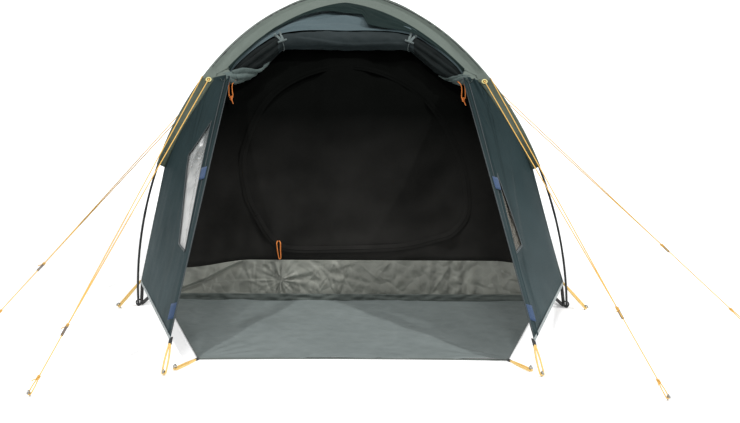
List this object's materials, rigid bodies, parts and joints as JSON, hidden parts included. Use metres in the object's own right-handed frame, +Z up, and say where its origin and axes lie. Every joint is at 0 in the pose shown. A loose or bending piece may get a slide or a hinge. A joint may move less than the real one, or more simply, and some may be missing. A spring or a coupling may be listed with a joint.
{
  "type": "camping tent",
  "caption": "Dome tent on two crossing poles, with a pegged porch, clear windows in its wings and the porch door rolled up.",
  "frame": {"origin": "on the ground under the crossing of the two poles, at the middle of the bedroom floor's underside", "axes": "+X to the right seen from the porch, +Y from the porch to the back, +Z up"},
  "size_m": [3.0288, 3.3511, 1.295],
  "materials": {
    "flysheet_cloth": "coated woven polyester, grey green",
    "porch_cloth": "coated woven polyester, dark blue green",
    "window_film": "clear soft film, rumpled",
    "inner_cloth": "breathable black polyester",
    "tub_sheet": "crinkled woven polythene",
    "porch_sheet": "woven polythene",
    "webbing": "black woven webbing",
    "tie_cloth": "grey woven tape",
    "pole_glass_fibre": "black glass fibre rod",
    "guy_cord": "braided yellow cord",
    "pull_cord": "braided orange cord",
    "peg_steel": "plated steel wire"
  },
  "bodies": {
    "root": {"brow": "flysheet_cloth", "corner_strap_front_left": "webbing", "corner_strap_front_right": "webbing", "corner_strap_rear_left": "webbing", "corner_strap_rear_right": "webbing", "door_head": "porch_cloth", "door_tie_left": "tie_cloth", "door_tie_right": "tie_cloth", "door_zip_pull_left": "pull_cord", "door_zip_pull_right": "pull_cord", "flysheet_left": "flysheet_cloth", "flysheet_rear": "flysheet_cloth", "flysheet_right": "flysheet_cloth", "groundsheet_tub": "tub_sheet", "guy_line_front_left": "guy_cord", "guy_line_front_right": "guy_cord", "guy_line_rear_left": "guy_cord", "guy_line_rear_right": "guy_cord", "guy_peg_front_left": "peg_steel", "guy_peg_front_right": "peg_steel", "guy_peg_rear_left": "peg_steel", "guy_peg_rear_right": "peg_steel", "inner_front_wall": "inner_cloth", "inner_left_wall": "inner_cloth", "inner_rear_wall": "inner_cloth", "inner_right_wall": "inner_cloth", "inner_zip_pull": "pull_cord", "pole_left_to_right": "pole_glass_fibre", "pole_right_to_left": "pole_glass_fibre", "pole_sleeve_front_left": "flysheet_cloth", "pole_sleeve_front_right": "flysheet_cloth", "pole_sleeve_rear_left": "flysheet_cloth", "pole_sleeve_rear_right": "flysheet_cloth", "porch_groundsheet": "porch_sheet", "porch_wing_left": "porch_cloth", "porch_wing_right": "porch_cloth", "rolled_door": "porch_cloth", "sheet_peg_loop_left": "webbing", "sheet_peg_loop_right": "webbing", "threshold_strip": "inner_cloth", "window_left": "window_film", "window_right": "window_film", "wing_peg_loop_left": "webbing", "wing_peg_loop_right": "webbing"}
  },
  "joints": []
}
